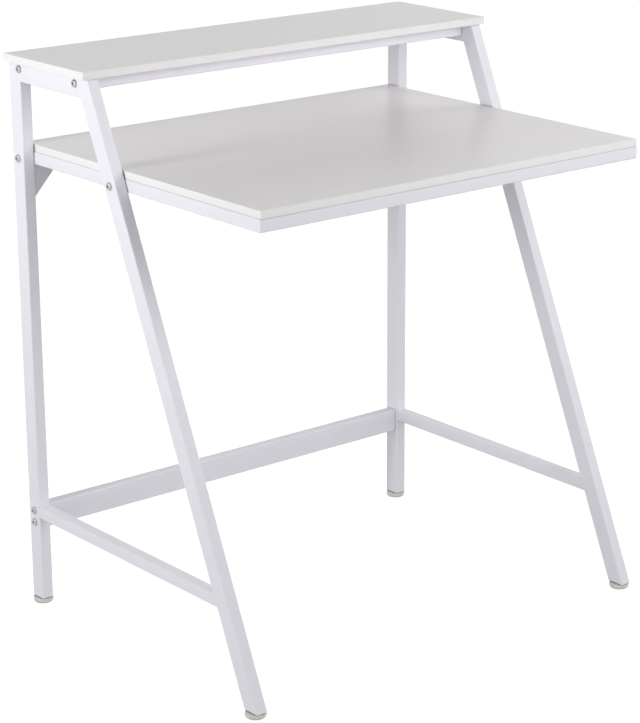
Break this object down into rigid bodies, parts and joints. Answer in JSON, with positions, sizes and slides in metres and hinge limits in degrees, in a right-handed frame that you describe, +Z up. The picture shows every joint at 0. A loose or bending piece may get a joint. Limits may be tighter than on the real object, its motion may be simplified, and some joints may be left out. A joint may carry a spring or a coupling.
{
  "type": "office desk",
  "caption": "Office desk with a raised rear shelf on two white tube side frames with leaning front legs and screw-adjusted round feet",
  "frame": {"origin": "on the floor, under the middle of the desk's width and depth", "axes": "+X to the right of someone sitting at the desk, +Y to the back, +Z up"},
  "size_m": [0.808, 0.6098, 0.913],
  "materials": {
    "frame_paint": "satin powder coat",
    "board_face": "smooth pale melamine face",
    "edge_band": "satin",
    "zinc_steel": "zinc plated",
    "pad_plastic": "fine matt",
    "plug_plastic": "fine matt"
  },
  "bodies": {
    "frame": {"desk_board": "board_face", "desk_board_screws": "zinc_steel", "desk_front_band": "edge_band", "desk_front_rail": "frame_paint", "desk_left_band": "edge_band", "desk_left_rail": "frame_paint", "desk_rear_band": "edge_band", "desk_rear_rail": "frame_paint", "desk_right_band": "edge_band", "desk_right_rail": "frame_paint", "desk_weld_nuts": "zinc_steel", "foot_nuts": "zinc_steel", "left_desk_bolts": "zinc_steel", "left_front_leg": "frame_paint", "left_front_leg_plug": "plug_plastic", "left_gusset": "frame_paint", "left_rear_leg": "frame_paint", "left_rear_leg_plug": "plug_plastic", "left_shelf_bolts": "zinc_steel", "left_side_stretcher": "frame_paint", "left_stretcher_bolts": "zinc_steel", "left_top_rail": "frame_paint", "rear_stretcher": "frame_paint", "right_desk_bolts": "zinc_steel", "right_front_leg": "frame_paint", "right_front_leg_plug": "plug_plastic", "right_gusset": "frame_paint", "right_rear_leg": "frame_paint", "right_rear_leg_plug": "plug_plastic", "right_shelf_bolts": "zinc_steel", "right_side_stretcher": "frame_paint", "right_stretcher_bolts": "zinc_steel", "right_top_rail": "frame_paint", "shelf_board": "board_face", "shelf_board_screws": "zinc_steel", "shelf_front_band": "edge_band", "shelf_front_rail": "frame_paint", "shelf_left_band": "edge_band", "shelf_rail_inserts": "zinc_steel", "shelf_rear_band": "edge_band", "shelf_rear_rail": "frame_paint", "shelf_right_band": "edge_band", "stretcher_inserts": "zinc_steel"},
    "left_front_pad": {"left_front_foot_pad": "pad_plastic"},
    "left_front_stud": {"left_front_foot_stud": "zinc_steel"},
    "left_rear_pad": {"left_rear_foot_pad": "pad_plastic"},
    "left_rear_stud": {"left_rear_foot_stud": "zinc_steel"},
    "right_front_pad": {"right_front_foot_pad": "pad_plastic"},
    "right_front_stud": {"right_front_foot_stud": "zinc_steel"},
    "right_rear_pad": {"right_rear_foot_pad": "pad_plastic"},
    "right_rear_stud": {"right_rear_foot_stud": "zinc_steel"}
  },
  "joints": [
    {"name": "left_front_foot_height", "type": "slide", "parent": "frame", "child": "left_front_pad", "axis": [0, 0, -1], "range_m": [0, 0.008]},
    {"name": "left_front_stud_turn", "type": "hinge", "parent": "left_front_pad", "child": "left_front_stud", "pos_m": [-0.386, -0.28841, 0.01], "axis": [0, 0, -1], "range_deg": [0, 2880]},
    {"name": "left_rear_foot_height", "type": "slide", "parent": "frame", "child": "left_rear_pad", "axis": [0, 0, -1], "range_m": [0, 0.008]},
    {"name": "left_rear_stud_turn", "type": "hinge", "parent": "left_rear_pad", "child": "left_rear_stud", "pos_m": [-0.386, 0.28691, 0.01], "axis": [0, 0, -1], "range_deg": [0, 2880]},
    {"name": "right_front_foot_height", "type": "slide", "parent": "frame", "child": "right_front_pad", "axis": [0, 0, -1], "range_m": [0, 0.008]},
    {"name": "right_front_stud_turn", "type": "hinge", "parent": "right_front_pad", "child": "right_front_stud", "pos_m": [0.386, -0.28841, 0.01], "axis": [0, 0, -1], "range_deg": [0, 2880]},
    {"name": "right_rear_foot_height", "type": "slide", "parent": "frame", "child": "right_rear_pad", "axis": [0, 0, -1], "range_m": [0, 0.008]},
    {"name": "right_rear_stud_turn", "type": "hinge", "parent": "right_rear_pad", "child": "right_rear_stud", "pos_m": [0.386, 0.28691, 0.01], "axis": [0, 0, -1], "range_deg": [0, 2880]}
  ],
  "couplings": [
    {"joint": "left_front_stud_turn", "follows": "left_front_foot_height", "rad_per_m": 6283.2},
    {"joint": "left_rear_stud_turn", "follows": "left_rear_foot_height", "rad_per_m": 6283.2},
    {"joint": "right_front_stud_turn", "follows": "right_front_foot_height", "rad_per_m": 6283.2},
    {"joint": "right_rear_stud_turn", "follows": "right_rear_foot_height", "rad_per_m": 6283.2}
  ]
}
